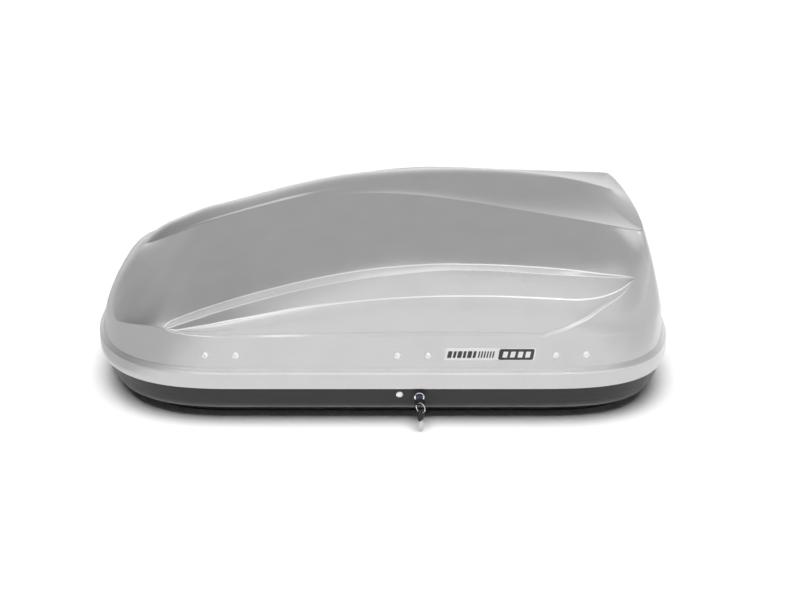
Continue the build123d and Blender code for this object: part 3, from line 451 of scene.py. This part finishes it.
def slanted(x0, x1, z0, z1, round_mm, lean=0.22):
    """Outline of a bar that leans to the tail, its corners rounded."""
    corners = [(x0, z0), (x1, z0), (x1, z1), (x0, z1)]
    out = []
    for i, (x, z) in enumerate(corners):
        px, pz = corners[i - 1]
        nx, nz = corners[(i + 1) % 4]
        before, after = hypot(px - x, pz - z), hypot(nx - x, nz - z)
        start = (x + (px - x) * round_mm / before, z + (pz - z) * round_mm / before)
        stop = (x + (nx - x) * round_mm / after, z + (nz - z) * round_mm / after)
        for k in range(6):
            t = k / 5
            bx = start[0] * (1 - t) ** 2 + x * 2 * t * (1 - t) + stop[0] * t * t
            bz = start[1] * (1 - t) ** 2 + z * 2 * t * (1 - t) + stop[1] * t * t
            out.append((bx + lean * (bz - z0), bz))
    return out


def plates(name, outlines, low, high, material):
    """Thin plates on the wall, one for each outline of (x, z)."""
    verts, faces = [], []
    for outline in outlines:
        base, count = len(verts), len(outline)
        for lift in (low, high):
            verts.extend(on_wall(x, z, lift) for x, z in outline)
        faces.append(tuple(base + count + i for i in range(count)))
        for i in range(count):
            j = (i + 1) % count
            faces.append((base + i, base + j, base + count + j, base + count + i))
    obj = weld(mesh_object(name, verts, faces, smooth=False))
    dress(obj, "lid", material)
    return obj


def make_badge():
    """White strip with a plain pattern of slanted bars, and a dark block at its tail end."""
    plate = plates("badge_plate", [slanted(139.5, 331.5, 150, 176.5, 5, 0.15)], -0.3, 0.9, "badge")
    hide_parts("side_badge")
    bars = [slanted(x, x + w, 155.5, 170.5, 1.5) for x, w in
            ((146, 9), (158, 6), (167, 9), (179, 6), (188, 9), (200, 6), (211, 3), (217, 3), (223, 3),
             (229, 3), (235, 3), (241, 3))]
    bars.append(slanted(254, 328, 151.2, 175.3, 4.5, 0.15))
    plates("badge_bars", bars, 0.85, 1.15, "badge_print")
    light = [slanted(x, x + 10, 156.5, 169.5, 1.5) for x in (263, 279, 295, 311)]
    plates("badge_dashes", light, 1.1, 1.4, "badge")


def domed(name, spots, profile, body, material, sides=28):
    """Round pieces turned about outward axes from a profile of (radius, height), in mm."""
    verts, faces = [], []
    for place, axis in spots:
        axis = axis.normalized()
        across = axis.cross(Vector((0, 0, 1))).normalized()
        up = across.cross(axis)
        base = len(verts)
        for radius, height in profile:
            for i in range(sides):
                a = 2 * pi * i / sides
                spoke = across * cos(a) + up * sin(a)
                verts.append((place + (spoke * radius + axis * height) * MM) / MM)
        for row in range(len(profile) - 1):
            for i in range(sides):
                j = (i + 1) % sides
                a, b = base + row * sides, base + (row + 1) * sides
                faces.append((a + i, a + j, b + j, b + i))
    dress(weld(mesh_object(name, verts, faces)), body, material)


# Rivets of the three latch strikers, either side of each, and of the lock's plate.
STRIKER_X = (-333.5, 73.5, 409)
STRIKER_RIVET_Z, RIVET_REACH = 160, 32.5
LOCK_RIVET, LOCK_RIVET_AXIS = (46, -407.65, 70), (0, -0.98, -0.2)


def wall_spot(x, z):
    """Place and outward direction on the opening side's wall at x (metres and a unit vector)."""
    inset = 11.5 + 6.5 * (z - 131) / 69
    u = min((i / 2000 for i in range(2001)), key=lambda t: abs(rim(t, inset)[0] - x))
    x0, y0 = rim(u, inset)
    x1, y1 = rim(u, inset + 10)
    out = Vector((x0 - x1, y1 - y0, 0.94)).normalized()
    return Vector((x, -y0, z)) * MM, out


def make_rivet_heads():
    """Broad low rivet heads, each with the sunk end of the mandrel as a near-black disc: painted shade of
    the hole in the head's middle.
    """
    head = [(0.01, 0.9), (1.5, 0.9), (1.8, 2.9), (2.3, 3.3), (4.0, 2.9), (5.8, 2.1), (7.0, 1.2), (7.6, 0.3),
            (7.6, -0.6)]
    pin = [(0.01, 1.9), (1.3, 1.8), (1.5, 1.5), (1.5, 0.8)]
    spots = [wall_spot(x + dx, STRIKER_RIVET_Z) for x in STRIKER_X for dx in (-RIVET_REACH, RIVET_REACH)]
    lock = [(Vector(LOCK_RIVET) * MM, Vector(LOCK_RIVET_AXIS))]
    for node, body, places in (("lid_latch_rivets", "lid", spots), ("lock_rivet", "tray", lock)):
        domed(node + "_heads", places, head, body, "rivet_metal")
        # The pins' near-black colour is painted shade of the hole in each rivet's middle.
        domed(node + "_pins", places, pin, body, "dark_pin", sides=16)


# Section of the moulding along the tray's lower edge: inset, height, painted highlight (how much the colour
# is lifted along the crease).
TRAY_EDGE = (
    (18.4, 50.2, 0.0), (20.4, 45.2, 0.04), (22.9, 40.2, 0.14), (24.9, 36.2, 0.30), (26.2, 33.6, 0.75),
    (27.2, 32.0, 1.0), (28.6, 30.9, 0.75), (30.6, 30.2, 0.2), (33.4, 29.2, 0.0),
)


def make_tray_edge():
    """Rounded moulding along the tray's lower edge, with a painted highlight along its crease."""
    def line(u):
        return [(Vector((*rim(u, inset), z)), painted_light_and_shade) for inset, z, painted_light_and_shade in TRAY_EDGE]

    edge = swept("tray_edge", line, [i / 240 for i in range(241)])
    dress(edge, "tray", "tray_plastic")


# ---------------------------------------------------------------- materials
class Nodes:
    """A short way of wiring a material's nodes."""

    def __init__(self, tree):
        self.tree = tree

    def add(self, kind, **values):
        node = self.tree.nodes.new(kind)
        for key, value in values.items():
            if key.startswith("in_"):
                node.inputs[key[3:].replace("_", " ")].default_value = value
            else:
                setattr(node, key, value)
        return node

    def link(self, source, target):
        self.tree.links.new(source, target)

    def noise(self, coords, scale, detail=3.0, roughness=0.5):
        node = self.add("ShaderNodeTexNoise")
        node.inputs["Scale"].default_value = scale
        node.inputs["Detail"].default_value = detail
        node.inputs["Roughness"].default_value = roughness
        self.link(coords, node.inputs["Vector"])
        return node.outputs["Fac"]

    def spread(self, source, low, high):
        node = self.add("ShaderNodeMapRange")
        node.inputs["From Min"].default_value = 0.3
        node.inputs["From Max"].default_value = 0.7
        node.inputs["To Min"].default_value = low
        node.inputs["To Max"].default_value = high
        self.link(source, node.inputs["Value"])
        return node.outputs["Result"]

    def mix(self, factor, first, second):
        node = self.add("ShaderNodeMix", data_type="RGBA")
        node.inputs["A"].default_value = (*first, 1)
        node.inputs["B"].default_value = (*second, 1)
        self.link(factor, node.inputs["Factor"])
        return node.outputs["Result"]


def finish_material(name, dark, light, rough, metallic=0.0, grain=1200.0, grain_height=0.00002,
                    patch=18.0, coat=0.0, stretch=(1, 1, 1), specular=0.5, lift=0.6):
    """Colour and gloss that vary over large patches, and a fine surface grain. The colour is also scaled by
    the mesh's painted light attribute, up to 1 + lift: painted highlights where it is above 0, painted shade
    where it is below.
    """
    material = bpy.data.materials.new(name)
    material.use_nodes = True
    tree = material.node_tree
    tree.nodes.clear()
    n = Nodes(tree)
    out = n.add("ShaderNodeOutputMaterial")
    shader = n.add("ShaderNodeBsdfPrincipled")
    shader.inputs["Metallic"].default_value = metallic
    shader.inputs["Coat Weight"].default_value = coat
    shader.inputs["Coat Roughness"].default_value = 0.12
    shader.inputs["Specular IOR Level"].default_value = specular
    n.link(shader.outputs["BSDF"], out.inputs["Surface"])
    place = n.add("ShaderNodeTexCoord").outputs["Object"]
    mapping = n.add("ShaderNodeMapping")
    mapping.inputs["Scale"].default_value = stretch
    n.link(place, mapping.inputs["Vector"])
    coords = mapping.outputs["Vector"]
    broad = n.noise(coords, patch, 4.0, 0.55)
    fine = n.noise(coords, grain, 2.0)
    # Painted highlights and painted shade: the colour is scaled by the mesh's painted light attribute.
    painted_light_and_shade = n.add("ShaderNodeAttribute", attribute_name="painted_light_and_shade").outputs["Fac"]
    lighter = n.add("ShaderNodeMath", operation="MULTIPLY_ADD")
    n.link(painted_light_and_shade, lighter.inputs[0])
    lighter.inputs[1].default_value = lift
    lighter.inputs[2].default_value = 1.0
    colour = n.add("ShaderNodeVectorMath", operation="SCALE")
    n.link(n.mix(n.spread(broad, 0.0, 1.0), dark, light), colour.inputs[0])
    capped = n.add("ShaderNodeMath", operation="MINIMUM")
    n.link(lighter.outputs["Value"], capped.inputs[0])
    capped.inputs[1].default_value = 1 + lift
    n.link(capped.outputs["Value"], colour.inputs["Scale"])
    n.link(colour.outputs["Vector"], shader.inputs["Base Color"])
    n.link(n.spread(broad, *rough), shader.inputs["Roughness"])
    bump = n.add("ShaderNodeBump")
    bump.inputs["Strength"].default_value = 1.0
    bump.inputs["Distance"].default_value = grain_height
    n.link(fine, bump.inputs["Height"])
    n.link(bump.outputs["Normal"], shader.inputs["Normal"])
    return material


def make_materials():
    """One material per slot of the record."""
    return {
        "lid_plastic": finish_material("lid_plastic", (0.585, 0.576, 0.582), (0.61, 0.602, 0.607),
                                       (0.22, 0.26), metallic=0.85, grain=900, grain_height=0.00001),
        # lift=20 makes the painted highlight along the tray's edge strong on the black plastic.
        "tray_plastic": finish_material("tray_plastic", (0.009, 0.009, 0.010), (0.014, 0.014, 0.015),
                                        (0.36, 0.46), grain=700, grain_height=0.00006, lift=20),
        "plated_steel": finish_material("plated_steel", (0.50, 0.50, 0.47), (0.62, 0.61, 0.57), (0.28, 0.42),
                                        metallic=1.0, grain=500, stretch=(0.2, 1, 1)),
        "rivet_metal": finish_material("rivet_metal", (0.86, 0.86, 0.86), (0.93, 0.93, 0.93), (0.30, 0.40),
                                       metallic=0.75, grain=1500, grain_height=0.00001),
        "bright_metal": finish_material("bright_metal", (0.82, 0.82, 0.82), (0.9, 0.9, 0.9), (0.06, 0.14),
                                        metallic=1.0, grain=2500, grain_height=0.000005),
        "lock_metal": finish_material("lock_metal", (0.06, 0.08, 0.12), (0.10, 0.12, 0.17), (0.25, 0.38),
                                      metallic=0.6, grain=2500, grain_height=0.00001),
        "cast_metal": finish_material("cast_metal", (0.18, 0.18, 0.19), (0.26, 0.26, 0.27), (0.4, 0.55),
                                      metallic=0.8, grain=900, grain_height=0.00005),
        "key_metal": finish_material("key_metal", (0.60, 0.59, 0.56), (0.74, 0.73, 0.70), (0.2, 0.34),
                                     metallic=1.0, grain=2500, grain_height=0.00001, stretch=(1, 1, 0.1)),
        "black_plastic": finish_material("black_plastic", (0.010, 0.010, 0.011), (0.016, 0.016, 0.017),
                                         (0.4, 0.5), grain=1800, grain_height=0.00004, specular=0.22),
        "tube_paint": finish_material("tube_paint", (0.01, 0.01, 0.01), (0.016, 0.016, 0.016), (0.16, 0.26),
                                      grain=600, grain_height=0.00001, coat=0.4),
        "webbing": finish_material("webbing", (0.014, 0.014, 0.016), (0.03, 0.03, 0.033), (0.75, 0.9),
                                   grain=1400, grain_height=0.0003, stretch=(1, 0.4, 1)),
        "badge_print": finish_material("badge_print", (0.035, 0.035, 0.037), (0.05, 0.05, 0.052),
                                       (0.25, 0.35), grain=1500, grain_height=0.000005),
        # dark_pin: near-black, painted shade of the rivets' holes.
        "dark_pin": finish_material("dark_pin", (0.03, 0.03, 0.032), (0.06, 0.06, 0.062), (0.4, 0.5),
                                    metallic=0.5, grain=2500, grain_height=0.000005),
        "badge": finish_material("badge", (0.84, 0.84, 0.84), (0.9, 0.9, 0.9), (0.2, 0.3), grain=1500,
                                 grain_height=0.000005),
    }


def card_material(name, bright):
    """Dim glow of the studio's ends, as the lid mirrors them."""
    material = bpy.data.materials.new(name)
    material.use_nodes = True
    tree = material.node_tree
    tree.nodes.clear()
    n = Nodes(tree)
    out = n.add("ShaderNodeOutputMaterial")
    glow = n.add("ShaderNodeEmission")
    glow.inputs["Strength"].default_value = 1.0
    n.link(glow.outputs["Emission"], out.inputs["Surface"])
    place = n.add("ShaderNodeTexCoord").outputs["Object"]
    n.link(n.mix(n.spread(n.noise(place, 0.4), 0.0, 1.0), (bright,) * 3, (bright + 0.04,) * 3),
           glow.inputs["Color"])
    return material


MATERIALS = make_materials()


def dress_nodes():
    """Give every CAD node its slot's material."""
    slots = {part["node"]: part["material_slot"] for part in frame["record"]["subparts"]}
    for name, obj in NODES.items():
        obj.data.materials.clear()
        obj.data.materials.append(MATERIALS[slots[name]])


# ---------------------------------------------------------------- studio
def ramp(n, source, stops):
    """A grey ramp over positions 0..1 of a node's output."""
    node = n.add("ShaderNodeValToRGB")
    n.link(source, node.inputs["Fac"])
    elements = node.color_ramp.elements
    while len(elements) < len(stops):
        elements.new(0.5)
    for element, (position, value) in zip(elements, stops):
        element.position = position
        element.color = (value, value, value, 1)
    return node.outputs["Color"]


def make_world():
    """A bright wall of light in front of the object and along the horizon, darker behind it."""
    world = bpy.data.worlds.new("studio")
    bpy.context.scene.world = world
    world.use_nodes = True
    world.cycles_visibility.diffuse = False
    tree = world.node_tree
    tree.nodes.clear()
    n = Nodes(tree)
    out = n.add("ShaderNodeOutputWorld")
    background = n.add("ShaderNodeBackground")
    n.link(background.outputs["Background"], out.inputs["Surface"])
    split = n.add("ShaderNodeSeparateXYZ")
    n.link(n.add("ShaderNodeTexCoord").outputs["Generated"], split.inputs["Vector"])
    across = n.add("ShaderNodeMapRange")
    across.inputs["From Min"].default_value = -1.0
    n.link(split.outputs["Y"], across.inputs["Value"])
    depth = ramp(n, across.outputs["Result"],
                 ((0, 1), (0.30, 1), (0.44, 0.80), (0.5, 0.58), (0.57, 0.46), (1, 0.42)))
    height = ramp(n, split.outputs["Z"], ((0, 1), (0.15, 1), (0.36, 0.5), (0.52, 0.12), (0.7, 0), (1, 0)))
    blend = n.add("ShaderNodeMix", data_type="RGBA")
    n.link(height, blend.inputs["Factor"])
    n.link(depth, blend.inputs["A"])
    blend.inputs["B"].default_value = (1, 1, 1, 1)
    along = n.add("ShaderNodeMapRange")
    along.inputs["From Min"].default_value = -1.0
    n.link(split.outputs["X"], along.inputs["Value"])
    ends = ramp(n, along.outputs["Result"],
                ((0, 0.26), (0.12, 0.42), (0.30, 1), (0.72, 1), (0.90, 0.94), (1, 0.7)))
    both = n.add("ShaderNodeMix", data_type="RGBA", blend_type="MULTIPLY")
    both.inputs["Factor"].default_value = 1.0
    n.link(blend.outputs["Result"], both.inputs["A"])
    n.link(ends, both.inputs["B"])
    n.link(both.outputs["Result"], background.inputs["Color"])


def area_light(name, place, target, size, power):
    """Rectangular lamp that faces its target."""
    data = bpy.data.lights.new(name, "AREA")
    data.shape = "RECTANGLE"
    data.size, data.size_y = size
    data.energy = power
    light = bpy.data.objects.new(name, data)
    bpy.context.scene.collection.objects.link(light)
    light.location = place
    direction = Vector(target) - Vector(place)
    light.rotation_mode = "QUATERNION"
    light.rotation_quaternion = direction.to_track_quat("-Z", "Y")
    return light


def rectangle(x0, x1, reach, z):
    """Corners of a level rectangle, `reach` to either side of the middle, in mm."""
    return [(x0, -reach, z), (x1, -reach, z), (x1, reach, z), (x0, reach, z)]


def make_studio():
    """White floor that runs out of sight, and soft light."""
    bpy.context.scene.view_settings.view_transform = "Standard"
    floor = mesh_object("floor", rectangle(-16000, 16000, 16000, -0.5), [(0, 1, 2, 3)])
    floor.data.materials.append(finish_material("floor_paper", (0.90, 0.90, 0.90), (0.92, 0.92, 0.92),
                                                (0.85, 0.95), grain=200, grain_height=0.00001, patch=2))
    make_world()
    for name, x0, x1, bright in (("card_nose", -5000, -745, 0.62),
                                 ("card_tail", 1000, 5000, 0.80)):
        card = mesh_object(name, rectangle(x0, x1, 5000, 2), [(0, 1, 2, 3)])
        card.data.materials.append(card_material(name, bright))
        card.visible_camera = card.visible_diffuse = card.visible_shadow = False
    data = bpy.data.lights.new("overhead", "SUN")
    data.energy = 3.75
    data.angle = radians(46)
    overhead = bpy.data.objects.new("overhead", data)
    bpy.context.scene.collection.objects.link(overhead)
    overhead.rotation_euler = (radians(13), 0, 0)
    overhead.visible_glossy = False
    front = area_light("front", (0, -5.0, 2.9), (0, 0, 0.2), (6.0, 0.7), 14)
    front.visible_diffuse = False


add_camera()
make_studio()
dress_nodes()
make_lid()
make_badge()
make_rivet_heads()
make_tray_edge()
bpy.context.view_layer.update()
import json
